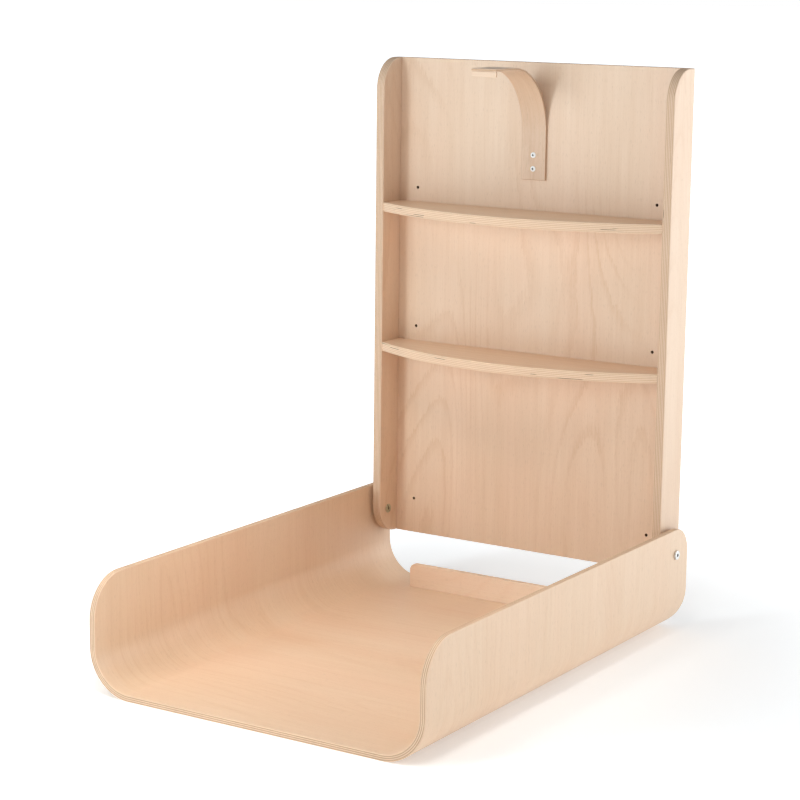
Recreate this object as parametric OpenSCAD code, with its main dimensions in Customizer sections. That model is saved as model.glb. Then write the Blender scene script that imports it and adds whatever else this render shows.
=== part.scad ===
// Fold-down changing table that hangs on a wall. Millimetres, +Z up, +Y towards the wall.
// Rest pose: the tray is folded down, level, and its underside is the lowest face (z = 0).
// The row's origin is under the middle of the open table. The modules are written from the
// wall plane (y = 0, the table reaches to -y), and in_row_frame() moves them to the origin.

/* [Cabinet] */
// Clear width between the side panels, which is the width of the back panel
inner_w = 510; // [460:5:600]
// Height of the cabinet
cabinet_h = 802; // [780:1:820]
// Height of the cabinet's lower end above the open tray's underside
cabinet_z = 91; // [85:1:95]
// Plywood thickness of the side panels, back panel and shelves
board_t = 15; // [12:1:18]
// Depth of the side panels from the wall
side_d = 67; // [60:1:80]
// Radius of the side panels' front corners, top and bottom
side_corner_r = 50; // [20:1:52]

/* [Shelves] */
// Height of the upper shelf's top face
upper_shelf_z = 657; // [600:1:680]
// Height of the lower shelf's top face
lower_shelf_z = 423.5; // [380:0.5:520]
// Depth of a shelf at its two ends, from the wall
shelf_end_d = 66; // [56:1:66]
// Depth of a shelf at the crest of its bowed front edge, from the wall
shelf_mid_d = 136; // [90:1:145]

/* [Wall screws] */
// Heights of the three rows of wall-screw holes
screw_rows = [150, 447.5, 680]; // [120:0.5:700]
// Distance of the two hole columns from the middle
screw_x = 220; // [150:1:235]
// Diameter of a wall-screw hole
screw_hole_d = 5; // [4:0.5:6]

/* [Tray] */
// Plywood thickness of the moulded tray
tray_t = 10; // [8:1:12]
// Length of the tray
tray_len = 788; // [786:1:789]
// Height of the tray's side walls
tray_h = 174; // [170:1:178]
// Inside radius of the bend between floor and side wall
bend_r = 61; // [40:1:75]
// Radius of the side walls' front upper corners
front_corner_r = 63; // [30:1:90]
// Gap between a side panel and the tray wall beside it
side_gap = 6.5; // [5:0.5:10]

/* [Mattress stop] */
// Width of the batten that stops the mattress
stop_w = 390; // [300:5:420]
// Height of the batten above the tray floor
stop_h = 40; // [30:1:50]
// Thickness of the batten
stop_t = 10; // [8:1:15]
// Distance of the batten's front face from the wall plane
stop_y = 65; // [60:1:80]

/* [Pivot] */
// Distance of the pivot from the wall plane
pivot_y = 42; // [40:1:44]
// Height of the pivot
pivot_z = 133; // [130:1:135]
// Diameter of the bolt head
bolt_head_d = 15; // [12:0.5:18]
// Diameter of the bolt's smooth shoulder
shoulder_d = 8; // [6:0.5:10]

/* [Latch] */
// Width of the bent-plywood strap
strap_w = 44; // [30:1:60]
// Thickness of the strap
strap_t = 4.5; // [3:0.5:6]
// Height of the strap's lower end
strap_z0 = 706; // [690:1:720]
// Height at which the strap leaves the back panel
strap_z1 = 781; // [775:1:781]
// Inside radius of the strap's bend
strap_r = 103.5; // [103:0.5:104]
// Angle along the bend at which the free arm starts to flex
flex_deg = 22; // [15:1:30]
// Depth of the catch below the strap
catch_h = 8.5; // [7.5:0.5:9]
// Thickness of the catch, front to back
catch_t = 5; // [4:0.5:6]

/* [Hidden] */
$fn = 64;

PLY = [0.91, 0.79, 0.66];
PLY_PALE = [0.94, 0.84, 0.72];
DOWEL = [0.85, 0.70, 0.52];
STEEL = [0.78, 0.78, 0.76];
WHITE = [0.95, 0.95, 0.93];
eps = 0.01;

cabinet_top = cabinet_z + cabinet_h;
half_in = inner_w / 2;                      // inner face of a side panel
half_out = half_in + board_t;               // outer face of a side panel
wall_in = half_out + side_gap;              // inner face of a tray wall
wall_out = wall_in + tray_t;                // outer face of a tray wall
rear_corner_r = pivot_y;                    // the walls' rear upper corners turn about the pivot

dowel_d = 8;
dowel_len = 30;
dowel_in_side = 10;                         // how far a dowel goes into a side panel
dowel_x = half_in + dowel_in_side - dowel_len;   // inner end of a dowel
panel_dowel_z = [cabinet_z + 20, cabinet_z + 250, cabinet_z + 480, cabinet_z + 775];
shelf_dowel_y = [-28, -52];

running_gap = 0.08;                         // radial clearance of the tray on the shoulder
bolt_head_h = 3.2;
thread_d = 6;
hex_af = 5;
hex_depth = 2;
barrel_d = 10;                              // sleeve nut's barrel in the side panel
nut_flange_d = 15;
nut_flange_t = 1.6;
slot_w = 1.6;
slot_depth = 0.8;
washer_d = 20;
washer_play = 0.1;                          // free space on each side of a spacer washer

strap_out_r = strap_r + strap_t;
bend_cy = -board_t - strap_out_r;           // centre of the strap's bend
catch_gap = 1.5;                            // closed tray's outer face to the catch
catch_back_y = -pivot_y - pivot_z - catch_gap;
strap_front_y = catch_back_y - catch_t;
overlap_deg = 0.5;                          // the bend reaches this far into the straight part
flex_gap = 0.3;                             // slit between strap and arm at the flex line
latch_screw_z = [746, 724];
latch_screw_d = 4;
latch_head_d = 9;
latch_head_h = 1.8;
latch_screw_len = 14;
latch_tip_y = -board_t - strap_t + latch_screw_len;   // where a latch screw ends in the panel

stop_corner_r = 10;
stop_screw_x = [-165, -55, 55, 165];
stop_screw_d = 4;
stop_head_d = 8;
stop_head_h = 2.5;
stop_screw_len = 32;

module in_row_frame() translate([0, tray_len / 2, 0]) children();

// Cylinder along +X from x0 to x1
module x_rod(x0, x1, d, y = 0, z = 0)
    translate([x0, y, z]) rotate([0, 90, 0]) cylinder(d = d, h = x1 - x0);

// Cylinder along -Y from y0 forwards to y1
module y_rod(y0, y1, d, x = 0, z = 0)
    translate([x, y0, z]) rotate([90, 0, 0]) cylinder(d = d, h = y0 - y1);

// Lays an outline drawn as (wall distance, height) upright and extrudes it from x0 to x1
module side_extrude(x0, x1)
    translate([x0, 0, 0]) rotate([90, 0, -90]) mirror([0, 0, 1]) linear_extrude(x1 - x0) children();

module place_left() mirror([1, 0, 0]) children();

// ---------------------------------------------------------------- cabinet
// Straight at the wall, one large radius at each front corner
module side_outline() {
    r = side_corner_r;
    translate([0, cabinet_z + r]) square([side_d, cabinet_h - 2 * r]);
    translate([0, cabinet_z]) square([side_d - r, cabinet_h]);
    for (z = [cabinet_z + r, cabinet_top - r]) intersection() {
        translate([side_d - r, z]) circle(r, $fn = 96);
        translate([0, cabinet_z]) square([side_d, cabinet_h]);
    }
}

module side_panel_right() difference() {
    side_extrude(half_in, half_out) side_outline();
    x_rod(half_in - eps, half_out + eps, barrel_d, -pivot_y, pivot_z);
    for (z = panel_dowel_z)
        x_rod(half_in - eps, half_in + dowel_in_side, dowel_d, -board_t / 2, z);
    for (top = [upper_shelf_z, lower_shelf_z], y = shelf_dowel_y)
        x_rod(half_in - eps, half_in + dowel_in_side, dowel_d, y, top - board_t / 2);
}

module back_panel() color(PLY_PALE) in_row_frame() difference() {
    translate([-half_in, -board_t, cabinet_z]) cube([inner_w, board_t, cabinet_h]);
    for (x = [-screw_x, screw_x], z = screw_rows) y_rod(eps, -board_t - eps, screw_hole_d, x, z);
    for (z = panel_dowel_z) {
        x_rod(dowel_x, half_in + eps, dowel_d, -board_t / 2, z);
        place_left() x_rod(dowel_x, half_in + eps, dowel_d, -board_t / 2, z);
    }
    for (z = latch_screw_z)
        y_rod(latch_tip_y, -board_t - eps, latch_screw_d, 0, z);
}

module left_side_panel() color(PLY) in_row_frame() place_left() side_panel_right();
module right_side_panel() color(PLY) in_row_frame() side_panel_right();

// Plan of a shelf: straight ends, front edge one arc through the two ends and the crest
module shelf_plan() {
    rise = shelf_mid_d - shelf_end_d;
    arc_r = (half_in * half_in + rise * rise) / (2 * rise);
    intersection() {
        translate([-half_in, -shelf_mid_d]) square([inner_w, shelf_mid_d - board_t]);
        translate([0, -shelf_mid_d + arc_r]) circle(arc_r, $fn = 360);
    }
}

module shelf(top) difference() {
    translate([0, 0, top - board_t]) linear_extrude(board_t) shelf_plan();
    for (y = shelf_dowel_y) {
        x_rod(dowel_x, half_in + eps, dowel_d, y, top - board_t / 2);
        place_left() x_rod(dowel_x, half_in + eps, dowel_d, y, top - board_t / 2);
    }
}

module upper_shelf() color(PLY_PALE) in_row_frame() shelf(upper_shelf_z);
module lower_shelf() color(PLY_PALE) in_row_frame() shelf(lower_shelf_z);

module side_dowel(y, z)
    x_rod(dowel_x, half_in + dowel_in_side, dowel_d, y, z);

module shelf_dowels(top)
    for (y = shelf_dowel_y) {
        side_dowel(y, top - board_t / 2);
        place_left() side_dowel(y, top - board_t / 2);
    }

module right_panel_dowels()
    color(DOWEL) in_row_frame() for (z = panel_dowel_z) side_dowel(-board_t / 2, z);
module left_panel_dowels()
    color(DOWEL) in_row_frame() place_left() for (z = panel_dowel_z) side_dowel(-board_t / 2, z);
module upper_shelf_dowels() color(DOWEL) in_row_frame() shelf_dowels(upper_shelf_z);
module lower_shelf_dowels() color(DOWEL) in_row_frame() shelf_dowels(lower_shelf_z);

// ---------------------------------------------------------------- latch
// Sector of the strap's bend, from angle a0 to a1 up from the straight part
module bend_sector(a0, a1) {
    span = a1 - a0;
    reach = 2 * strap_out_r;
    translate([-bend_cy, strap_z1]) rotate(180 - a1) intersection() {
        difference() {
            circle(strap_out_r, $fn = 180);
            circle(strap_r, $fn = 180);
        }
        polygon(reach * [[0, 0], [1, 0], [cos(span / 2), sin(span / 2)], [cos(span), sin(span)]]);
    }
}

// Fixed lower part: screwed to the back panel, up to the flex line
module latch_strap() color(PLY) in_row_frame() difference() {
    side_extrude(-strap_w / 2, strap_w / 2) {
        translate([board_t, strap_z0]) square([strap_t, strap_z1 - strap_z0]);
        bend_sector(-overlap_deg, flex_deg);
    }
    for (z = latch_screw_z) y_rod(-board_t + eps, -board_t - strap_t - eps, latch_screw_d, 0, z);
}

// Free part: the rest of the bend and the level end over the closed tray
module latch_arm() color(PLY) in_row_frame() side_extrude(-strap_w / 2, strap_w / 2) {
    slit_deg = flex_gap / strap_r * 180 / PI;
    bend_sector(flex_deg + slit_deg, 90);
    translate([-bend_cy, strap_z1 + strap_r]) square([-strap_front_y + bend_cy, strap_t]);
}

module latch_catch() color(PLY) in_row_frame()
    translate([-strap_w / 2, strap_front_y, strap_z1 + strap_r - catch_h])
        cube([strap_w, catch_t, catch_h]);

// Round-head screw through the strap into the back panel, with a cross recess
module latch_screw(z) {
    face = -board_t - strap_t;
    difference() {
        union() {
            y_rod(face + latch_screw_len, face, latch_screw_d, 0, z);
            y_rod(face, face - latch_head_h, latch_head_d, 0, z);
        }
        for (a = [0, 90]) translate([0, face - latch_head_h, z]) rotate([0, a, 0])
            cube([0.9, 2.2, 4], center = true);
    }
}

module latch_screw_upper() color(WHITE) in_row_frame() latch_screw(latch_screw_z[0]);
module latch_screw_lower() color(WHITE) in_row_frame() latch_screw(latch_screw_z[1]);

// ---------------------------------------------------------------- pivot
// Head outside the tray wall, smooth shoulder through wall and gap, thread in the sleeve nut
module pivot_bolt() difference() {
    union() {
        x_rod(half_in + 2, half_out + eps, thread_d, -pivot_y, pivot_z);
        x_rod(half_out, wall_out + washer_play, shoulder_d, -pivot_y, pivot_z);
        x_rod(wall_out + washer_play, wall_out + bolt_head_h, bolt_head_d, -pivot_y, pivot_z);
    }
    translate([wall_out + bolt_head_h - hex_depth, -pivot_y, pivot_z]) rotate([0, 90, 0])
        cylinder(d = hex_af / cos(30), h = hex_depth + eps, $fn = 6);
}

// Flange on the inner face of the side panel, slotted, with a barrel through the panel
module pivot_nut() difference() {
    union() {
        x_rod(half_in - eps, half_out, barrel_d, -pivot_y, pivot_z);
        x_rod(half_in - nut_flange_t, half_in, nut_flange_d, -pivot_y, pivot_z);
    }
    x_rod(half_in + 2, half_out + eps, thread_d, -pivot_y, pivot_z);
    translate([half_in - nut_flange_t, -pivot_y, pivot_z])
        cube([2 * slot_depth, slot_w, nut_flange_d + 1], center = true);
}

module pivot_washer() difference() {
    x_rod(half_out + washer_play, wall_in - washer_play, washer_d, -pivot_y, pivot_z);
    x_rod(half_out - eps, wall_in + eps, shoulder_d + 2 * running_gap, -pivot_y, pivot_z);
}

module right_pivot_bolt() color(STEEL) in_row_frame() pivot_bolt();
module left_pivot_bolt() color(STEEL) in_row_frame() place_left() pivot_bolt();
module right_pivot_nut() color(STEEL) in_row_frame() pivot_nut();
module left_pivot_nut() color(STEEL) in_row_frame() place_left() pivot_nut();
module right_pivot_washer() color(WHITE) in_row_frame() pivot_washer();
module left_pivot_washer() color(WHITE) in_row_frame() place_left() pivot_washer();

// ---------------------------------------------------------------- tray
// Right half of the U section, drawn as (x, z)
module half_section() {
    turn_r = bend_r + tray_t;
    square([wall_out - turn_r, tray_t]);
    translate([wall_in, turn_r]) square([tray_t, tray_h - turn_r]);
    translate([wall_out - turn_r, turn_r]) intersection() {
        difference() { circle(turn_r, $fn = 128); circle(bend_r, $fn = 128); }
        translate([0, -turn_r]) square(turn_r);
    }
}

// Side view of the whole tray as (wall distance, height): rounded upper corners
module tray_outline() {
    fr = front_corner_r;
    rr = rear_corner_r;
    square([tray_len, tray_h - max(fr, rr)]);
    translate([rr, 0]) square([tray_len - fr - rr, tray_h]);
    square([rr, tray_h - rr]);
    translate([tray_len - fr, tray_h - fr]) circle(fr, $fn = 96);
    intersection() {
        translate([rr, tray_h - rr]) circle(rr, $fn = 96);
        square([2 * rr, tray_h]);
    }
}

module tray_shell() color(PLY_PALE) in_row_frame() difference() {
    intersection() {
        rotate([90, 0, 0]) linear_extrude(tray_len) {
            half_section();
            mirror([1, 0]) half_section();
        }
        side_extrude(-wall_out - 1, wall_out + 1) tray_outline();
    }
    for (s = [0, 1]) mirror([s, 0, 0])
        x_rod(wall_in - 1, wall_out + 1, shoulder_d + 2 * running_gap, -pivot_y, pivot_z);
    for (x = stop_screw_x) stop_screw_hole(x);
}

module stop_screw_shape(x, head_d, d, h)
    translate([x, -stop_y + stop_t / 2, 0]) {
        cylinder(d1 = head_d, d2 = d, h = stop_head_h);
        cylinder(d = d, h = h);
    }

module stop_screw_hole(x) {
    stop_screw_shape(x, stop_head_d, stop_screw_d, stop_screw_len);
    translate([x, -stop_y + stop_t / 2, -1]) cylinder(d = stop_head_d, h = 1);
}

// Straight batten with rounded upper corners
module mattress_stop() color(PLY) in_row_frame() difference() {
    r = stop_corner_r;
    translate([0, -stop_y + stop_t, tray_t]) rotate([90, 0, 0]) linear_extrude(stop_t) {
        translate([-stop_w / 2, 0]) square([stop_w, stop_h - r]);
        translate([-stop_w / 2 + r, 0]) square([stop_w - 2 * r, stop_h]);
        for (s = [-1, 1]) translate([s * (stop_w / 2 - r), stop_h - r]) circle(r);
    }
    for (x = stop_screw_x) stop_screw_hole(x);
}

module mattress_stop_screws() color(STEEL) in_row_frame()
    for (x = stop_screw_x) stop_screw_shape(x, stop_head_d, stop_screw_d, stop_screw_len);

back_panel();
left_side_panel();
right_side_panel();
upper_shelf();
lower_shelf();
left_panel_dowels();
right_panel_dowels();
upper_shelf_dowels();
lower_shelf_dowels();
latch_strap();
latch_arm();
latch_catch();
latch_screw_upper();
latch_screw_lower();
left_pivot_bolt();
right_pivot_bolt();
left_pivot_nut();
right_pivot_nut();
left_pivot_washer();
right_pivot_washer();
tray_shell();
mattress_stop();
mattress_stop_screws();
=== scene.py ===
"""Looks of a fold-down changing table in beech plywood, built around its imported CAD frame.

Every board is made flat, with its arrises rounded, and then stood up or bent into place. A board's
vertices carry the attribute "ply": metres along the grain, metres across it, and the depth below the
front veneer. One shader reads it to draw veneer figure on the faces and ply layers on the cut edges.
"""
import math

import bmesh
import bpy
from mathutils import Matrix, Vector


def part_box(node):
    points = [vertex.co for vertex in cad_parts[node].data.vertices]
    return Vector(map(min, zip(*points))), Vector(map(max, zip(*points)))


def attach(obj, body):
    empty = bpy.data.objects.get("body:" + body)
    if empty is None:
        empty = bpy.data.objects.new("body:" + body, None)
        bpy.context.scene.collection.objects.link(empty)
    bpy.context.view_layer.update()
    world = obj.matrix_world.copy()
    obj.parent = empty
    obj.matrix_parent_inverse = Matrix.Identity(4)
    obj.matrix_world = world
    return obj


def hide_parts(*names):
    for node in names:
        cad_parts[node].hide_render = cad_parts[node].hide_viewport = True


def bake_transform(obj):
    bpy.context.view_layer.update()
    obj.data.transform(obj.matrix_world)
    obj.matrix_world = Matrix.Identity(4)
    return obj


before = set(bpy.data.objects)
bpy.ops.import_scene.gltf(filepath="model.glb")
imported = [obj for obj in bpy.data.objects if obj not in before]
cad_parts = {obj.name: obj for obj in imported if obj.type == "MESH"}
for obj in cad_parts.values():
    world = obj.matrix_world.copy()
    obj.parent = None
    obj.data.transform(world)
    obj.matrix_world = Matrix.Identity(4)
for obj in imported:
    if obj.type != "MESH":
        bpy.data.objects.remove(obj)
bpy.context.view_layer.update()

MM = 0.001

# ------------------------------------------------------------------ places taken from the frame
panel_lo, panel_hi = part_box("back_panel")
side_lo, side_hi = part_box("right_side_panel")
upper_lo, upper_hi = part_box("upper_shelf")
lower_lo, lower_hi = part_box("lower_shelf")
strap_lo, strap_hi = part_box("latch_strap")
arm_lo, arm_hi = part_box("latch_arm")
catch_lo, catch_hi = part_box("latch_catch")
tray_lo, tray_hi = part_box("tray_shell")
stop_lo, stop_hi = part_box("mattress_stop")
bolt_lo, bolt_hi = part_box("right_pivot_bolt")
nut_lo, nut_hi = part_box("right_pivot_nut")
screw_lo, screw_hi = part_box("latch_screw_upper")
low_screw_lo, low_screw_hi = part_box("latch_screw_lower")
stop_screws_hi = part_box("mattress_stop_screws")[1]

WALL_Y = panel_hi.y                       # the wall plane
BOARD_T = panel_hi.y - panel_lo.y
PIVOT = (bolt_lo + bolt_hi) / 2           # y and z of the pivot axis
SIDE_CORNER_R = 50 * MM
TRAY_T = 10 * MM
TRAY_BEND_R = 61 * MM
TRAY_FRONT_R = 63 * MM
TRAY_REAR_R = WALL_Y - PIVOT.y
STOP_CORNER_R = 10 * MM
STRAP_T = 4.5 * MM
STRAP_BEND_R = 103.5 * MM
STRAP_BEND_Z = arm_hi.z - STRAP_T - STRAP_BEND_R
SCREW_HOLE_R = 2.5 * MM
SCREW_HOLE_X = 220 * MM
SCREW_HOLE_Z = (150 * MM, 447.5 * MM, 680 * MM)
STOP_SCREW_X = (-165 * MM, -55 * MM, 55 * MM, 165 * MM)
STOP_SCREW_Y = (stop_lo.y + stop_hi.y) / 2
STOP_HEAD_R = 4 * MM
STOP_HEAD_H = 2.5 * MM
STOP_BORE_R = 2.1 * MM
PIVOT_HOLE_R = 4.08 * MM                  # the tray turns on the bolt's 4 mm shoulder
OVERRUN = MM                              # how far a drill passes the faces of its board


# ------------------------------------------------------------------ flat outlines
def arc(cx, cy, r, a0, a1, steps):
    """Points of an arc from angle a0 to a1, in degrees, both ends included."""
    angles = [math.radians(a0 + (a1 - a0) * i / steps) for i in range(steps + 1)]
    return [(cx + r * math.cos(a), cy + r * math.sin(a)) for a in angles]


def rounded(x0, y0, x1, y1, radii, steps=20):
    """A rectangle with the radii of its corners: low-low, high-low, high-high, low-high."""
    centres = [(x0, y0, 1, 1, 180), (x1, y0, -1, 1, 270), (x1, y1, -1, -1, 0), (x0, y1, 1, -1, 90)]
    points = []
    for (cx, cy, sx, sy, start), r in zip(centres, radii):
        if r:
            points += arc(cx + sx * r, cy + sy * r, r, start, start + 90, steps)
        else:
            points.append((cx, cy))
    return points


def bowed(half_width, y_back, y_end, y_crest, steps=72):
    """Plan of a shelf: straight back and ends, front edge one arc through its ends and crest."""
    rise = y_end - y_crest
    r = (half_width ** 2 + rise ** 2) / (2 * rise)
    reach = math.degrees(math.asin(half_width / r))
    front = arc(0, y_crest + r, r, 270 - reach, 270 + reach, steps)
    return front + [(half_width, y_back), (-half_width, y_back)]


# ------------------------------------------------------------------ boards
def flat_board(outline, thick, soft=1.2 * MM, cuts=()):
    """A flat board in (a, b, depth): depth 0 is the front veneer. soft rounds all its arrises,
    and cuts are values of a at which the board gets a line of vertices, so that it can bend."""
    bm = bmesh.new()
    front = bm.faces.new([bm.verts.new((a, b, 0)) for a, b in outline])
    rim = bmesh.ops.extrude_face_region(bm, geom=[front])
    bmesh.ops.translate(bm, verts=[v for v in rim["geom"] if isinstance(v, bmesh.types.BMVert)],
                        vec=(0, 0, thick))
    bmesh.ops.recalc_face_normals(bm, faces=bm.faces)
    sharp = [e for e in bm.edges if e.calc_face_angle(0) > math.radians(60)]
    bmesh.ops.bevel(bm, geom=sharp, offset=soft, offset_type="OFFSET", segments=4, profile=0.5,
                    affect="EDGES", clamp_overlap=True)
    for a in cuts:
        geom = list(bm.verts) + list(bm.edges) + list(bm.faces)
        bmesh.ops.bisect_plane(bm, geom=geom, dist=1e-6, plane_co=(a, 0, 0), plane_no=(1, 0, 0))
    return bm


def add_object(name, data):
    """A new object in the scene."""
    made = bpy.data.objects.new(name, data)
    bpy.context.scene.collection.objects.link(made)
    return made


def mesh_piece(name, bm, body, nodes=()):
    """Turns bm into a piece that rides on a body and stands for some CAD nodes."""
    bmesh.ops.remove_doubles(bm, verts=bm.verts, dist=1e-6)
    bmesh.ops.recalc_face_normals(bm, faces=bm.faces)
    mesh = bpy.data.meshes.new(name)
    bm.to_mesh(mesh)
    bm.free()
    piece = add_object(name, mesh)
    mesh.polygons.foreach_set("use_smooth", [True] * len(mesh.polygons))
    mesh.set_sharp_from_angle(angle=math.radians(50))
    if body:
        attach(piece, body)
    if nodes:
        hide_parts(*nodes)
    return piece


def even_normals(piece):
    """Keeps flat faces flat beside their rounded arrises."""
    modifier = piece.modifiers.new("even", "WEIGHTED_NORMAL")
    modifier.keep_sharp = True
    modifier.weight = 100


def in_bore(face, start, end, radius):
    """Whether a face is part of the wall of a bore."""
    start, way = Vector(start), Vector(end) - Vector(start)
    share = (face.center - start).dot(way) / way.length_squared
    off = (face.center - start - share * way).length
    return 0 < share < 1 and off < radius + 0.02 * MM and abs(face.normal.dot(way)) < 0.9 * way.length


def cut_away(piece, tool_bm, sharp_angle):
    """Takes a tool's mesh out of a piece, and marks edges over sharp_angle, in degrees, as sharp."""
    mesh = bpy.data.meshes.new("tool")
    tool_bm.to_mesh(mesh)
    tool_bm.free()
    tool = add_object("tool", mesh)
    cut = piece.modifiers.new("cut", "BOOLEAN")
    cut.operation = "DIFFERENCE"
    cut.solver = "EXACT"
    cut.use_self = True
    cut.object = tool
    bpy.context.view_layer.update()
    result = bpy.data.meshes.new_from_object(piece.evaluated_get(bpy.context.evaluated_depsgraph_get()))
    piece.modifiers.remove(cut)
    piece.data = result
    result.set_sharp_from_angle(angle=math.radians(sharp_angle))
    bpy.data.objects.remove(tool)


def drill(piece, rods):
    """Bores a board with rods: (centre of one end, centre of the other end, radius there, and the
    radius at the first end if the bore is tapered)."""
    bm = bmesh.new()
    for start, end, radius, *wide in rods:
        start, end = Vector(start), Vector(end)
        way = end - start
        place = Matrix.Translation((start + end) / 2) @ way.to_track_quat("Z", "Y").to_matrix().to_4x4()
        bmesh.ops.create_cone(bm, cap_ends=True, segments=32, radius1=wide[0] if wide else radius,
                              radius2=radius, depth=way.length, matrix=place)
    cut_away(piece, bm, 50)


def lay_grain(piece, where):
    """Stores each vertex's place in the board: where(co) gives metres along the grain, metres
    across it and the depth below the front veneer."""
    values = []
    for v in piece.data.vertices:
        values.extend(where(v.co))
    attribute = piece.data.attributes.new("ply", "FLOAT_VECTOR", "POINT")
    attribute.data.foreach_set("vector", values)


def board(name, bm, material, where, body, nodes, rods=()):
    """A finished board: piece, bores, grain, material and even shading."""
    piece = mesh_piece(name, bm, body, nodes)
    if rods:
        drill(piece, rods)
    lay_grain(piece, where)
    piece.data.materials.clear()
    piece.data.materials.append(material)
    if rods:
        # Bore walls take the painted shade.
        piece.data.materials.append(bore_painted_shade)
        for face in piece.data.polygons:
            face.material_index = int(any(in_bore(face, *rod[:2], max(rod[2:])) for rod in rods))
    even_normals(piece)
    return piece


def moved(bm, rule):
    """Moves every vertex of bm to rule(a, b, depth)."""
    for v in bm.verts:
        v.co = rule(*v.co)
    return bm


# ------------------------------------------------------------------ shader building
class Graph:
    """A material's node tree, with short names for the nodes used here."""

    def __init__(self, name):
        self.material = bpy.data.materials.new(name)
        self.material.use_nodes = True
        self.tree = self.material.node_tree
        self.shader = self.tree.nodes["Principled BSDF"]

    def node(self, kind, **settings):
        made = self.tree.nodes.new(kind)
        for key, value in settings.items():
            setattr(made, key, value)
        return made

    def feed(self, socket, value):
        if isinstance(value, bpy.types.NodeSocket):
            self.tree.links.new(value, socket)
        else:
            socket.default_value = value

    def math(self, operation, a, b=0.0, c=0.0, clamp=False):
        made = self.node("ShaderNodeMath", operation=operation, use_clamp=clamp)
        for socket, value in zip(made.inputs, (a, b, c)):
            self.feed(socket, value)
        return made.outputs[0]

    def place(self):
        return self.node("ShaderNodeTexCoord").outputs["Object"]

    def vector(self, x, y, z):
        made = self.node("ShaderNodeCombineXYZ")
        for socket, value in zip(made.inputs, (x, y, z)):
            self.feed(socket, value)
        return made.outputs[0]

    def noise(self, vector, scale=1.0, detail=2.0, roughness=0.5, distortion=0.0):
        made = self.node("ShaderNodeTexNoise")
        self.feed(made.inputs["Vector"], vector)
        made.inputs["Scale"].default_value = scale
        made.inputs["Detail"].default_value = detail
        made.inputs["Roughness"].default_value = roughness
        made.inputs["Distortion"].default_value = distortion
        return made.outputs["Fac"]

    def remap(self, value, low, high, to_low=0.0, to_high=1.0, smooth=False):
        made = self.node("ShaderNodeMapRange", clamp=True,
                         interpolation_type="SMOOTHSTEP" if smooth else "LINEAR")
        for socket, v in zip(made.inputs, (value, low, high, to_low, to_high)):
            self.feed(socket, v)
        return made.outputs[0]

    def mix(self, factor, a, b, blend="MIX"):
        made = self.node("ShaderNodeMix", data_type="RGBA", blend_type=blend)
        self.feed(made.inputs[0], factor)
        for socket, value in ((made.inputs[6], a), (made.inputs[7], b)):
            self.feed(socket, value if isinstance(value, bpy.types.NodeSocket) else (*value[:3], 1.0))
        return made.outputs[2]

    def bump(self, height, distance):
        made = self.node("ShaderNodeBump")
        made.inputs["Distance"].default_value = distance
        self.feed(made.inputs["Height"], height)
        self.feed(self.shader.inputs["Normal"], made.outputs[0])


def linear(r, g, b):
    """A colour given as it looks on screen (0 to 255), as the shader wants it."""
    def one(v):
        v /= 255
        return v / 12.92 if v <= 0.04045 else ((v + 0.055) / 1.055) ** 2.4
    return (one(r), one(g), one(b))


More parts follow.
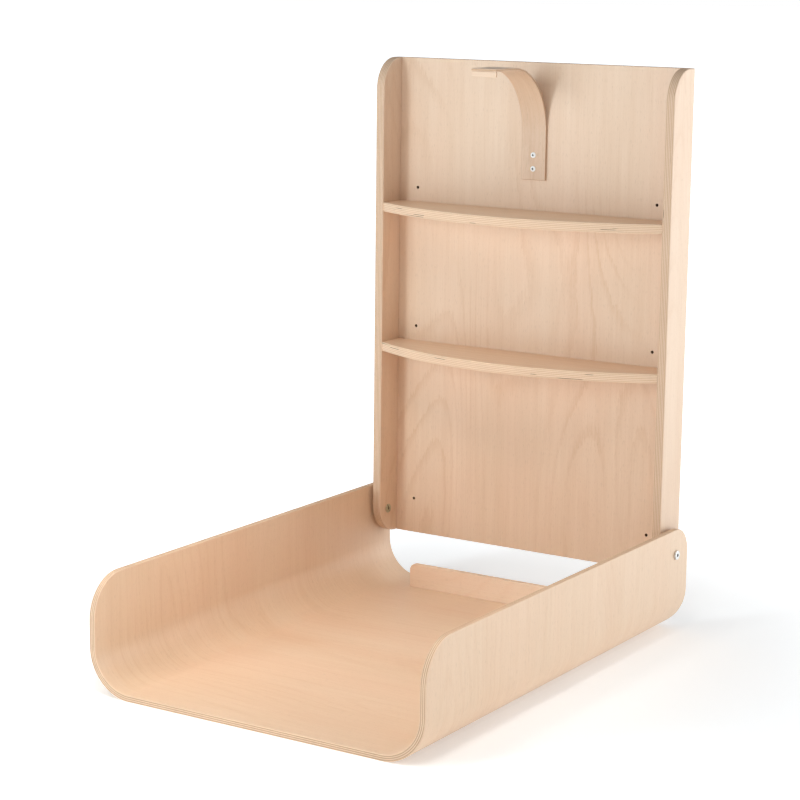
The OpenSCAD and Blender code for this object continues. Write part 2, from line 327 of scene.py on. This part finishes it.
def plywood(name, thick, plies, pale, tan, figure=1.0, seed=0.0, stripe=0.0, voids=0.66):
    """Beech plywood under clear matte lacquer: rotary-cut veneer on the faces, layers on the edges.
    stripe (0 to 1) darkens the plies and glue lines of front edges, and a lower voids gives more gaps."""
    g = Graph(name)
    attribute = g.node("ShaderNodeAttribute", attribute_name="ply")
    split = g.node("ShaderNodeSeparateXYZ")
    g.feed(split.inputs[0], attribute.outputs["Vector"])
    along, across, depth = split.outputs
    back = g.math("GREATER_THAN", depth, thick / 2)
    layer_seed = g.math("MULTIPLY_ADD", back, 7.3, seed)

    def grain(kl, kc, **settings):
        return g.noise(g.vector(g.math("MULTIPLY", along, kl), g.math("MULTIPLY", across, kc), layer_seed),
                       **settings)

    # broad, slow drift of tone, then the fine contour lines that a rotary cut leaves
    drift = grain(1.3, 4.5, detail=2.0, roughness=0.55)
    sway = grain(0.8, 3.2, detail=1.4, roughness=0.42, distortion=0.3)
    fray = grain(34.0, 300.0, detail=2.0, roughness=0.6)
    rings = g.math("MULTIPLY_ADD", sway, 40.0, g.math("MULTIPLY", across, 14.0))
    rings = g.math("FRACT", g.math("MULTIPLY_ADD", fray, 0.55, rings))
    ring_line = g.math("MULTIPLY", g.remap(rings, 0.60, 0.94, smooth=True),
                       g.remap(rings, 0.94, 1.0, 1.0, 0.0))
    fade = g.remap(grain(2.0, 6.0, detail=1.0), 0.36, 0.62, 0.05, 1.0, smooth=True)
    ring_line = g.math("MULTIPLY", ring_line, fade)
    fibre = grain(9.0, 420.0, detail=3.0, roughness=0.6)
    streak = grain(2.5, 60.0, detail=3.0, roughness=0.6)
    fleck = g.remap(grain(110.0, 1150.0, detail=1.0, roughness=0.4), 0.63, 0.74, smooth=True)
    pore = g.remap(grain(240.0, 2300.0, detail=1.0), 0.6, 0.78, smooth=True)

    tone = g.math("MULTIPLY_ADD", g.math("SUBTRACT", drift, 0.5), 0.8 * figure, 0.40)
    tone = g.math("MULTIPLY_ADD", g.math("SUBTRACT", streak, 0.5), 0.5 * figure, tone)
    tone = g.math("MULTIPLY_ADD", g.math("SUBTRACT", fibre, 0.5), 0.40, tone)
    tone = g.math("MULTIPLY_ADD", ring_line, 0.26 * figure, tone, clamp=True)
    face = g.mix(tone, pale, tan)
    rosy = g.remap(grain(1.7, 9.0, detail=2.0), 0.35, 0.7, 0.0, 0.35, smooth=True)
    face = g.mix(rosy, face, (1.0, 0.90, 0.86), "MULTIPLY")
    face = g.mix(g.math("MULTIPLY", fleck, 0.30), face, tuple(v * 0.62 for v in tan))
    face = g.mix(g.math("MULTIPLY", pore, 0.10), face, tuple(v * 0.5 for v in tan))

    # the cut edge: plies, alternating long grain and end grain, with glue lines and core gaps
    place = g.place()
    layer = g.math("MULTIPLY", depth, plies / thick)
    index = g.math("FLOOR", layer)
    part = g.math("SUBTRACT", layer, index)
    odd = g.math("MODULO", index, 2.0)
    shift = g.node("ShaderNodeVectorMath", operation="ADD")
    g.feed(shift.inputs[0], place)
    g.feed(shift.inputs[1], g.vector(g.math("MULTIPLY", index, 3.17), g.math("MULTIPLY", index, 1.71), seed))
    smear = g.noise(shift.outputs[0], scale=38.0, detail=3.0, roughness=0.6)
    speck = g.noise(shift.outputs[0], scale=900.0, detail=2.0, roughness=0.6)
    gap = g.remap(g.noise(shift.outputs[0], scale=17.0, detail=1.0), voids, voids + 0.04, smooth=True)
    light_ply = tuple(0.85 * p + 0.15 * t for p, t in zip(pale, tan))
    dark_ply = tuple(t * v for t, v in zip(tan, (0.84, 0.76, 0.68)))
    facing = g.node("ShaderNodeSeparateXYZ")
    g.feed(facing.inputs[0], g.node("ShaderNodeTexCoord").outputs["Normal"])
    front = g.remap(facing.outputs["Y"], -0.9, -0.5, stripe, 0.0)
    edge_tone = g.math("MULTIPLY_ADD", odd, 0.55, g.math("MULTIPLY", smear, 0.36))
    edge_tone = g.math("MULTIPLY_ADD", g.math("SUBTRACT", speck, 0.5), 0.40, edge_tone, clamp=True)
    cut = g.mix(edge_tone, light_ply, dark_ply)
    cut = g.mix(g.math("MULTIPLY", front, g.math("MULTIPLY_ADD", odd, 0.5, 0.2)), cut,
                (tan[0] * 0.42, tan[1] * 0.40, tan[2] * 0.38))
    inside = g.math("PINGPONG", part, 0.5)
    glue = g.math("MULTIPLY", g.remap(inside, 0.0, 0.12, 1.0, 0.0), g.math("MULTIPLY_ADD", front, 0.4, 0.24))
    cut = g.mix(glue, cut, tuple(v * 0.38 for v in tan))
    gap = g.math("MULTIPLY", g.math("MULTIPLY", gap, odd), g.remap(inside, 0.08, 0.2))
    cut = g.mix(g.math("MULTIPLY", gap, 0.85), cut, (tan[0] * 0.26, tan[1] * 0.20, tan[2] * 0.14))

    below = g.math("MINIMUM", depth, g.math("SUBTRACT", thick, depth))
    edge = g.remap(below, 0.00005, 0.0005, smooth=True)
    g.feed(g.shader.inputs["Base Color"], g.mix(edge, face, cut))
    rough = g.math("MULTIPLY_ADD", fibre, 0.14, 0.36)
    g.feed(g.shader.inputs["Roughness"], g.math("MULTIPLY_ADD", edge, 0.24, rough))
    relief = g.math("MULTIPLY_ADD", fleck, -0.6, fibre)
    cut_relief = g.math("MULTIPLY_ADD", gap, -3.0, g.math("MULTIPLY_ADD", glue, -1.2, speck))
    height = g.math("ADD", g.math("MULTIPLY", relief, g.math("SUBTRACT", 1.0, edge)),
                    g.math("MULTIPLY", cut_relief, edge))
    g.bump(height, 0.00006)
    return g.material


def painted_bore_shade():
    """The wall of a bore: torn wood in two dark browns, darker than a sawn edge: painted shade of the bore.
    """
    g = Graph("bore_painted_shade")
    place = g.place()
    torn = g.noise(place, scale=1400.0, detail=4.0, roughness=0.7)
    g.feed(g.shader.inputs["Base Color"], g.mix(torn, linear(128, 92, 62), linear(70, 46, 28)))
    g.shader.inputs["Roughness"].default_value = 0.9
    g.bump(torn, 0.0002)
    return g.material


def dowel_wood():
    """Raw beech rod: fine lengthwise fibre and dark flecks."""
    g = Graph("dowel_beech")
    place = g.place()
    stretch = g.node("ShaderNodeMapping")
    stretch.inputs["Scale"].default_value = (60.0, 900.0, 900.0)
    g.feed(stretch.inputs["Vector"], place)
    fibre = g.noise(stretch.outputs[0], detail=3.0)
    g.feed(g.shader.inputs["Base Color"], g.mix(fibre, linear(226, 190, 146), linear(178, 134, 90)))
    g.shader.inputs["Roughness"].default_value = 0.75
    g.bump(fibre, 0.0001)
    return g.material


def plated(name, colour, roughness, scratch):
    """Satin plated metal: turned finish with fine scratches."""
    g = Graph(name)
    place = g.place()
    wear = g.noise(place, scale=260.0, detail=4.0, roughness=0.65)
    fine = g.noise(place, scale=2600.0, detail=3.0, roughness=0.7)
    dull = tuple(v * 0.72 for v in colour)
    g.feed(g.shader.inputs["Base Color"], g.mix(g.remap(wear, 0.3, 0.75), colour, dull))
    g.shader.inputs["Metallic"].default_value = 1.0
    g.feed(g.shader.inputs["Roughness"], g.math("MULTIPLY_ADD", fine, scratch, roughness))
    g.bump(fine, 0.00002)
    return g.material


def painted(name, colour, roughness):
    """A painted or moulded part, or the painted shade of a recess, with a faint orange-peel skin and a little
    grime.
    """
    g = Graph(name)
    place = g.place()
    skin = g.noise(place, scale=1500.0, detail=2.0)
    grime = g.remap(g.noise(place, scale=320.0, detail=3.0), 0.45, 0.75, smooth=True)
    g.feed(g.shader.inputs["Base Color"], g.mix(g.math("MULTIPLY", grime, 0.3), colour,
                                                tuple(v * 0.78 for v in colour)))
    g.feed(g.shader.inputs["Roughness"], g.math("MULTIPLY_ADD", skin, 0.12, roughness))
    g.bump(skin, 0.00002)
    return g.material


PALE = linear(231, 206, 182)
TAN = linear(207, 170, 136)
panel_ply = plywood("panel_ply", BOARD_T, 11, PALE, TAN, figure=1.0, seed=3.0)
side_ply = plywood("side_ply", BOARD_T, 11, PALE, TAN, figure=0.8, seed=11.0, stripe=0.18, voids=0.74)
shelf_ply = plywood("shelf_ply", BOARD_T, 11, linear(240, 215, 189), linear(219, 182, 148),
                    figure=0.7, seed=19.0, stripe=0.05, voids=0.64)
tray_ply = plywood("tray_ply", TRAY_T, 7, linear(234, 208, 182), linear(212, 174, 138),
                   figure=0.55, seed=27.0, stripe=0.7, voids=0.8)
# The batten's plywood is lighter than the other boards': painted light.
stop_ply = plywood("stop_ply", TRAY_T, 7, linear(247, 226, 204), linear(231, 198, 166),
                   figure=0.6, seed=35.0)
# The strap's plywood is darker than the panel's all over: painted shade.
strap_ply = plywood("strap_ply", STRAP_T, 3, linear(220, 194, 169), linear(193, 154, 120),
                    figure=0.6, seed=43.0)
catch_ply = plywood("catch_ply", catch_hi.y - catch_lo.y, 3, PALE, TAN, figure=0.6, seed=49.0)
bore_painted_shade = painted_bore_shade()
dowel_beech = dowel_wood()
bolt_steel = plated("bolt_steel", (0.78, 0.77, 0.75), 0.24, 0.16)
nut_bronze = plated("nut_bronze", (0.60, 0.59, 0.43), 0.30, 0.10)
white_paint = painted("white_screw", (0.90, 0.90, 0.88), 0.34)
nylon = painted("washer_nylon", (0.045, 0.040, 0.036), 0.5)
# Painted shade in the sockets, slots and cross recesses of the heads.
recess_painted_shade = painted("recess_painted_shade", (0.10, 0.09, 0.08), 0.6)


# ------------------------------------------------------------------ cabinet
def back_panel():
    """Standing grain and six plain wall-screw holes. Its blind bores are hidden, and left out."""
    half = panel_hi.x
    front = panel_lo.y
    bm = flat_board(rounded(-half, panel_lo.z, half, panel_hi.z, (0, 0, 0, 0)), BOARD_T, 0.7 * MM)
    moved(bm, lambda a, b, t: (a, front + t, b))
    rods = [((s * SCREW_HOLE_X, front - OVERRUN, z), (s * SCREW_HOLE_X, WALL_Y + OVERRUN, z), SCREW_HOLE_R)
            for s in (-1, 1) for z in SCREW_HOLE_Z]
    return board("back_panel_board", bm, panel_ply, lambda co: (co.z, co.x, co.y - front),
                 "cabinet", ["back_panel"], rods)


def side_panel(name, sign):
    """Upright board with both front corners rounded; its outer face is the front veneer."""
    front = -side_lo.y
    bm = flat_board(rounded(-side_hi.y, side_lo.z, front, side_hi.z,
                            (0, SIDE_CORNER_R, SIDE_CORNER_R, 0), 28), BOARD_T, 1.6 * MM)
    moved(bm, lambda a, b, t: (sign * (side_hi.x - t), -a, b))
    return board(name + "_board", bm, side_ply,
                 lambda co: (co.z, co.y + 2.0 * sign, side_hi.x - abs(co.x)),
                 "cabinet", [name])


def shelf(name, lo, hi, shift):
    """Bowed shelf with its grain from side to side."""
    y_end = side_lo.y + 1 * MM
    bm = flat_board(bowed(hi.x, hi.y, y_end, lo.y), BOARD_T, 1.4 * MM)
    moved(bm, lambda a, b, t: (a, b, hi.z - t))
    return board(name + "_board", bm, shelf_ply, lambda co: (co.x, co.y + shift, hi.z - co.z),
                 "cabinet", [name])


# ------------------------------------------------------------------ latch
STRAIGHT = STRAP_BEND_Z - strap_lo.z
BEND_LENGTH = (STRAP_BEND_R + STRAP_T) * math.pi / 2
BEND_Y = panel_lo.y - STRAP_BEND_R - STRAP_T


def strap_place(s, x, t):
    """A point of the strap: s runs up from its lower end along the outer face, t is the depth."""
    r = STRAP_BEND_R + STRAP_T - t
    if s <= STRAIGHT:
        return (x, BEND_Y + r, strap_lo.z + s)
    angle = (s - STRAIGHT) / (STRAP_BEND_R + STRAP_T)
    if angle <= math.pi / 2:
        return (x, BEND_Y + r * math.cos(angle), STRAP_BEND_Z + r * math.sin(angle))
    return (x, BEND_Y - (s - STRAIGHT - BEND_LENGTH), STRAP_BEND_Z + r)


def strap_grain(co):
    """Inverse of strap_place: along the strap, across it, and the depth."""
    if co.z <= STRAP_BEND_Z:
        return (co.z - strap_lo.z, co.x, panel_lo.y - co.y)
    if co.y >= BEND_Y:
        dy, dz = co.y - BEND_Y, co.z - STRAP_BEND_Z
        s = STRAIGHT + (STRAP_BEND_R + STRAP_T) * math.atan2(dz, dy)
        return (s, co.x, STRAP_BEND_R + STRAP_T - math.hypot(dy, dz))
    return (STRAIGHT + BEND_LENGTH + BEND_Y - co.y, co.x, arm_hi.z - co.z)


def latch_strap():
    """One bent strip, from its foot on the cabinet wall to its free end, left on no body."""
    length = STRAIGHT + BEND_LENGTH + BEND_Y - arm_lo.y
    half = strap_hi.x
    steps = 48
    cuts = [STRAIGHT + BEND_LENGTH * i / steps for i in range(steps + 1)]
    bm = flat_board(rounded(0, -half, length, half, (0, 0, 0, 0)), STRAP_T, 0.9 * MM, cuts)
    moved(bm, strap_place)
    piece = mesh_piece("latch_strap_strip", bm, None, ["latch_strap", "latch_arm"])
    lay_grain(piece, strap_grain)
    piece.data.materials.append(strap_ply)
    even_normals(piece)
    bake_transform(piece)
    return piece


def latch_catch():
    """Cross-piece glued under the strap's free end, with a rounded lower edge."""
    bm = flat_board(rounded(catch_lo.x, catch_lo.z, catch_hi.x, catch_hi.z, (1.5 * MM, 1.5 * MM, 0, 0), 5),
                    catch_hi.y - catch_lo.y, 0.8 * MM)
    moved(bm, lambda a, b, t: (a, catch_lo.y + t, b))
    return board("latch_catch_block", bm, catch_ply, lambda co: (co.x, co.z, co.y - catch_lo.y),
                 "latch", ["latch_catch"])


# ------------------------------------------------------------------ tray
FLOOR_HALF = tray_hi.x - TRAY_T - TRAY_BEND_R
TRAY_ARC = TRAY_BEND_R * math.pi / 2
WALL_STRAIGHT = tray_hi.z - TRAY_T - TRAY_BEND_R
TRAY_HALF_GIRTH = FLOOR_HALF + TRAY_ARC + WALL_STRAIGHT


def tray_place(s, y, t):
    """A point of the tray: s runs from the middle of the floor up a wall, along the inside."""
    side = 1 if s >= 0 else -1
    s = abs(s)
    if s <= FLOOR_HALF:
        return (side * s, y, TRAY_T - t)
    angle = (s - FLOOR_HALF) / TRAY_BEND_R
    r = TRAY_BEND_R + t
    if angle <= math.pi / 2:
        return (side * (FLOOR_HALF + r * math.sin(angle)), y, TRAY_T + TRAY_BEND_R - r * math.cos(angle))
    return (side * (FLOOR_HALF + r), y, TRAY_T + TRAY_BEND_R + s - FLOOR_HALF - TRAY_ARC)


def tray_grain(co):
    """Inverse of tray_place: the grain runs across the floor and up the walls."""
    side = 1 if co.x >= 0 else -1
    x = abs(co.x)
    if x <= FLOOR_HALF:
        return (co.x, co.y, TRAY_T - co.z)
    bend_z = TRAY_T + TRAY_BEND_R
    if co.z >= bend_z:
        return (side * (FLOOR_HALF + TRAY_ARC + co.z - bend_z), co.y, x - FLOOR_HALF - TRAY_BEND_R)
    dx, dz = x - FLOOR_HALF, bend_z - co.z
    s = FLOOR_HALF + TRAY_BEND_R * math.atan2(dx, dz)
    return (side * s, co.y, math.hypot(dx, dz) - TRAY_BEND_R)


def tray_shell():
    """One moulded sheet, cut flat with all its corners rounded and then bent to a wide U."""
    steps = 32
    girth = TRAY_HALF_GIRTH
    cuts = [side * (FLOOR_HALF + TRAY_ARC * i / steps) for side in (-1, 1) for i in range(steps + 1)]
    radii = (TRAY_FRONT_R, TRAY_FRONT_R, TRAY_REAR_R, TRAY_REAR_R)
    bm = flat_board(rounded(-girth, tray_lo.y, girth, tray_hi.y, radii, 32), TRAY_T, 1.4 * MM, cuts)
    moved(bm, tray_place)
    inside, outside = tray_hi.x - TRAY_T - OVERRUN, tray_hi.x + OVERRUN
    rods = [((s * inside, PIVOT.y, PIVOT.z), (s * outside, PIVOT.y, PIVOT.z), PIVOT_HOLE_R)
            for s in (-1, 1)]
    mouth = STOP_HEAD_R + (STOP_HEAD_R - STOP_BORE_R) * OVERRUN / STOP_HEAD_H
    overlap = 0.2 * MM
    for x in STOP_SCREW_X:
        low, seat, middle, high = [(x, STOP_SCREW_Y, z) for z in
                                   (-OVERRUN, STOP_HEAD_H, STOP_HEAD_H - overlap, TRAY_T + OVERRUN)]
        rods.append((low, seat, STOP_BORE_R, mouth))
        rods.append((middle, high, STOP_BORE_R))
    return board("tray_shell_sheet", bm, tray_ply, tray_grain, "tray", ["tray_shell"], rods)


def mattress_stop():
    """Low batten across the rear of the tray floor."""
    bm = flat_board(rounded(stop_lo.x, stop_lo.z, stop_hi.x, stop_hi.z,
                            (0, 0, STOP_CORNER_R, STOP_CORNER_R), 12), stop_hi.y - stop_lo.y, 1.0 * MM)
    moved(bm, lambda a, b, t: (a, stop_lo.y + t, b))
    return board("mattress_stop_batten", bm, stop_ply, lambda co: (co.x, co.z, co.y - stop_lo.y),
                 "tray", ["mattress_stop"])


# ------------------------------------------------------------------ hardware
THREAD_R = 3 * MM
SHOULDER_R = 4 * MM
HEX_FLATS = 5 * MM
HEX_DEPTH = 2 * MM
SLEEVE_R = 5 * MM
NUT_SLOT_W = 1.6 * MM
NUT_SLOT_DEG = 25


def lathe(profile, segments=48):
    """A turned solid about +Z from (radius, height) points; a radius of 0 closes an end."""
    bm = bmesh.new()
    rings = []
    for r, z in profile:
        if r == 0:
            rings.append([bm.verts.new((0, 0, z))])
            continue
        turn = [2 * math.pi * i / segments for i in range(segments)]
        rings.append([bm.verts.new((r * math.cos(a), r * math.sin(a), z)) for a in turn])
    for low, high in zip(rings, rings[1:]):
        for i in range(segments):
            j = (i + 1) % segments
            corners = [low[i % len(low)], low[j % len(low)], high[j % len(high)], high[i % len(high)]]
            unique = [v for k, v in enumerate(corners) if v not in corners[:k]]
            if len(unique) > 2:
                bm.faces.new(unique)
    return bm


def dome(r, z0, z1, crown, steps=6):
    """Profile of a low head from its rim to its crown: a small side, a rolled edge, a flat top."""
    points = [(r, z0), (r, z1 - crown)]
    for i in range(1, steps + 1):
        a = math.pi / 2 * i / steps
        points.append((r - crown * (1 - math.cos(a)), z1 - crown + crown * math.sin(a)))
    return points


def prism(sides, across_flats, z0, z1):
    """A regular prism along Z, for a hex socket."""
    bm = bmesh.new()
    r = across_flats / 2 / math.cos(math.pi / sides)
    bmesh.ops.create_cone(bm, cap_ends=True, segments=sides, depth=z1 - z0, radius1=r, radius2=r,
                          matrix=Matrix.Translation((0, 0, (z0 + z1) / 2)))
    return bm


def cross(width, reach, z0, z1):
    """Two crossed bars along Z, for a cross recess that narrows downwards."""
    bm = bmesh.new()
    middle = (z0 + z1) / 2
    narrowing = 0.45
    for turn in (0, math.pi / 2):
        place = Matrix.Translation((0, 0, middle)) @ Matrix.Rotation(turn, 4, "Z")
        made = bmesh.ops.create_cube(bm, size=1.0, matrix=place @ Matrix.Diagonal((reach, width, z1 - z0, 1)))
        for v in made["verts"]:
            if v.co.z < middle:
                v.co.x *= narrowing
                v.co.y *= narrowing
    return bm


def turned(name, profile, tool_bm, place, body, material, nodes, pit):
    """A turned part: lathe it, cut its recess, put it in place and ride it on its body. pit is
    (radius, lowest, highest) round the recess faces, which take painted shade."""
    piece = mesh_piece(name, lathe(profile), None)
    cut_away(piece, tool_bm, 35)
    piece.data.materials.clear()
    piece.data.materials.append(material)
    piece.data.materials.append(recess_painted_shade)
    reach, lowest, highest = pit
    # Recess faces take the painted shade.
    for face in piece.data.polygons:
        x, y, z = face.center
        face.material_index = int(math.hypot(x, y) < reach and lowest < z < highest)
    piece.data.transform(place)
    piece.data.update()
    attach(piece, body)
    if nodes:
        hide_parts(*nodes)
    even_normals(piece)
    return piece


def along_x(x, sign, y, z):
    """Places a part turned about +Z so that its +Z points to sign * X, with its origin at x."""
    return Matrix.Translation((x, y, z)) @ Matrix.Rotation(sign * math.pi / 2, 4, "Y")


def pivot_bolt(name, sign):
    """Flat round head with a rolled edge and a 5 mm hex socket, on a smooth shoulder and thread."""
    wall = tray_hi.x
    head_r = (bolt_hi.z - bolt_lo.z) / 2
    head_h = bolt_hi.x - wall
    shoulder = wall - side_hi.x
    tip = bolt_lo.x - wall
    under = 0.1 * MM
    profile = [(0, tip), (THREAD_R - 0.4 * MM, tip), (THREAD_R, tip + 0.6 * MM), (THREAD_R, -shoulder),
               (SHOULDER_R, -shoulder), (SHOULDER_R, under), (head_r - 0.3 * MM, under)]
    profile += dome(head_r, 0.4 * MM, head_h, 0.9 * MM) + [(0, head_h)]
    socket = prism(6, HEX_FLATS, head_h - HEX_DEPTH, head_h + OVERRUN)
    return turned(name + "_turned", profile, socket, along_x(sign * wall, sign, PIVOT.y, PIVOT.z),
                  "cabinet", bolt_steel, [name],
                  (2.9 * MM, head_h - 2.1 * MM, head_h - 0.3 * MM))


def pivot_nut(name, sign):
    """Sleeve nut: slotted flange inside the cabinet, barrel through the side panel."""
    face = side_lo.x
    flange = face - nut_lo.x
    r = (nut_hi.z - nut_lo.z) / 2
    hollow = flange - 0.9 * MM
    profile = [(0, -2 * MM), (THREAD_R, -2 * MM), (THREAD_R, -BOARD_T), (SLEEVE_R - 0.2 * MM, -BOARD_T),
               (SLEEVE_R, -BOARD_T + 0.3 * MM), (SLEEVE_R, 0), (r - 0.2 * MM, 0)]
    profile += dome(r, 0.2 * MM, flange, 0.7 * MM)
    profile += [(2.2 * MM, flange), (1.8 * MM, hollow), (0, hollow)]
    blade = bmesh.new()
    bmesh.ops.create_cube(blade, size=1.0, matrix=Matrix.Translation((0, 0, flange))
                          @ Matrix.Rotation(math.radians(NUT_SLOT_DEG), 4, "Z")
                          @ Matrix.Diagonal((2.4 * r, NUT_SLOT_W, 1.5 * MM, 1)))
    return turned(name + "_turned", profile, blade, along_x(sign * face, -sign, PIVOT.y, PIVOT.z),
                  "cabinet", nut_bronze, [name], (0.8 * r, flange - MM, flange - 0.3 * MM))


def latch_screw(name, lo, hi):
    """White pan-head screw with a cross recess."""
    face = panel_lo.y - STRAP_T
    r = (hi.z - lo.z) / 2
    head_h = face - lo.y
    tip = face - hi.y
    shank = 2 * MM
    rim = 0.5 * MM
    profile = [(0, tip), (1.2 * MM, tip + 2 * MM), (shank, tip + 4 * MM), (shank, 0), (r, 0), (r, rim)]
    steps = 8
    for i in range(1, steps):
        a = math.pi / 2 * i / steps
        profile.append((r * math.cos(a), rim + (head_h - rim) * math.sin(a)))
    profile.append((0, head_h))
    recess = cross(1.7 * MM, 4.8 * MM, head_h - 1.5 * MM, head_h + 0.5 * MM)
    place = Matrix.Translation((0, face, (lo.z + hi.z) / 2)) @ Matrix.Rotation(math.pi / 2, 4, "X")
    return turned(name + "_turned", profile, recess, place, "cabinet", white_paint, [name],
                  (2.6 * MM, head_h - 1.6 * MM, head_h - 0.3 * MM))


def stop_screw(index, x):
    """Countersunk cross-recess screw, driven up through the tray floor into the batten."""
    tip = stop_screws_hi.z
    shank = 1.9 * MM
    profile = [(0, -tip), (0.4 * MM, -tip + 0.6 * MM), (shank, -tip + 6 * MM)]
    ridges = 16
    for i in range(ridges):
        z = -tip + 6.5 * MM + i * (tip - 12 * MM) / ridges
        profile += [(1.45 * MM, z), (2 * MM, z + 0.6 * MM)]
    profile += [(shank, -STOP_HEAD_H - MM), (shank, -STOP_HEAD_H),
                (STOP_HEAD_R - 0.1 * MM, -0.45 * MM), (STOP_HEAD_R - 0.15 * MM, -0.25 * MM), (0, -0.2 * MM)]
    recess = cross(1.0 * MM, 4.6 * MM, -1.9 * MM, 0.5 * MM)
    place = Matrix.Translation((x, STOP_SCREW_Y, 0)) @ Matrix.Rotation(math.pi, 4, "X")
    nodes = ["mattress_stop_screws"] if index == 0 else []
    return turned("mattress_stop_screw_%d" % (index + 1), profile, recess, place, "tray",
                  bolt_steel, nodes, (2.6 * MM, -2.0 * MM, -0.3 * MM))


def cad_finish():
    """CAD nodes that stay get their materials."""
    finishes = {"washer": nylon, "dowels": dowel_beech}
    for name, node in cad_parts.items():
        for key, material in finishes.items():
            if key in name:
                node.data.materials.clear()
                node.data.materials.append(material)


back_panel()
side_panel("left_side_panel", -1)
side_panel("right_side_panel", 1)
shelf("upper_shelf", upper_lo, upper_hi, 0.0)
shelf("lower_shelf", lower_lo, lower_hi, 3.0)
latch_strap()
latch_catch()
tray_shell()
mattress_stop()
for side_name, side_sign in (("left", -1), ("right", 1)):
    pivot_bolt(side_name + "_pivot_bolt", side_sign)
    pivot_nut(side_name + "_pivot_nut", side_sign)
latch_screw("latch_screw_upper", screw_lo, screw_hi)
latch_screw("latch_screw_lower", low_screw_lo, low_screw_hi)
for number, screw_x in enumerate(STOP_SCREW_X):
    stop_screw(number, screw_x)
cad_finish()


# ------------------------------------------------------------------ studio
def camera():
    """Standing in front and to the right of the open table, a little above its top."""
    data = bpy.data.cameras.new("camera")
    data.lens = 103.3
    data.sensor_width = 36.0
    data.clip_end = 50.0
    rig = add_object("camera", data)
    turn, drop, roll = 32.42, 11.0, 0.676
    rig.location = (1.7998, -2.8491, 1.0602)
    rig.rotation_mode = "QUATERNION"
    rig.rotation_quaternion = (Matrix.Rotation(math.radians(turn), 4, "Z")
                               @ Matrix.Rotation(math.radians(90 - drop), 4, "X")
                               @ Matrix.Rotation(math.radians(roll), 4, "Z")).to_quaternion()
    bpy.context.scene.camera = rig


def area_light(name, place, target, size, power, colour, spread=180):
    """A soft box that faces a target; spread is how wide its light fans out, in degrees."""
    data = bpy.data.lights.new(name, "AREA")
    data.shape = "RECTANGLE"
    data.size, data.size_y = size
    data.energy = power
    data.color = colour
    data.spread = math.radians(spread)
    lamp = add_object(name, data)
    lamp.location = place
    lamp.rotation_mode = "QUATERNION"
    lamp.rotation_quaternion = (Vector(target) - Vector(place)).to_track_quat("-Z", "Y")


SKY_LEVELS = ((0.20, 1.0), (0.30, 0.10), (0.55, 0.15), (0.85, 0.62))   # sine of height, brightness


def surroundings():
    """White round the horizon, dim above it, and a broad soft light overhead."""
    world = bpy.data.worlds.new("studio")
    bpy.context.scene.world = world
    world.use_nodes = True
    tree = world.node_tree
    direction = tree.nodes.new("ShaderNodeTexCoord")
    split = tree.nodes.new("ShaderNodeSeparateXYZ")
    tree.links.new(direction.outputs["Generated"], split.inputs[0])
    levels = tree.nodes.new("ShaderNodeValToRGB")
    stops = levels.color_ramp.elements
    stops.remove(stops[1])
    for index, (height, level) in enumerate(SKY_LEVELS):
        stop = stops.new(height) if index else stops[0]
        stop.position = height
        stop.color = (level, level, level, 1)
    tree.links.new(split.outputs["Z"], levels.inputs[0])
    tree.links.new(levels.outputs["Color"], tree.nodes["Background"].inputs["Color"])


def studio():
    """White floor that glows faintly, and soft boxes at the front left, right rear and over the tray."""
    surroundings()
    bpy.ops.mesh.primitive_plane_add(size=200, location=(0, 0, 0))
    floor = bpy.context.object
    floor.name = "floor"
    g = Graph("floor_white")
    g.shader.inputs["Base Color"].default_value = (0.93, 0.93, 0.93, 1)
    g.shader.inputs["Roughness"].default_value = 0.9
    g.shader.inputs["Specular IOR Level"].default_value = 0.1
    reach = g.node("ShaderNodeVectorMath", operation="LENGTH")
    g.feed(reach.inputs[0], g.place())
    g.shader.inputs["Emission Color"].default_value = (0.93, 0.97, 1.0, 1)
    near, far = 0.42, 1.2                 # the glow grows between these distances from the middle
    g.feed(g.shader.inputs["Emission Strength"],
           g.remap(reach.outputs["Value"], near, far, 0.235, 0.82, smooth=True))
    floor.data.materials.append(g.material)
    middle = (0, 0.1, 0.4)
    area_light("key_front_left", (-1.2, -2.72, 1.1), middle, (0.6, 1.5), 36.5, (0.81, 0.94, 1.0))
    area_light("right_rear", (2.3, 1.8, 0.9), middle, (1.8, 1.8), 37, (0.84, 0.93, 1.0))
    area_light("over_tray_right", (0.45, -1.1, 2.0), (-0.2, -0.2, 0.1), (0.6, 0.6), 1.35,
               (1.0, 0.94, 0.86), 40)
    area_light("over_tray_left", (-0.5, -1.1, 2.2), (0.0, -0.25, 0.05), (0.7, 0.7), 0.7,
               (1.0, 0.97, 0.93), 34)
    bpy.context.scene.view_settings.view_transform = "Standard"


camera()
studio()
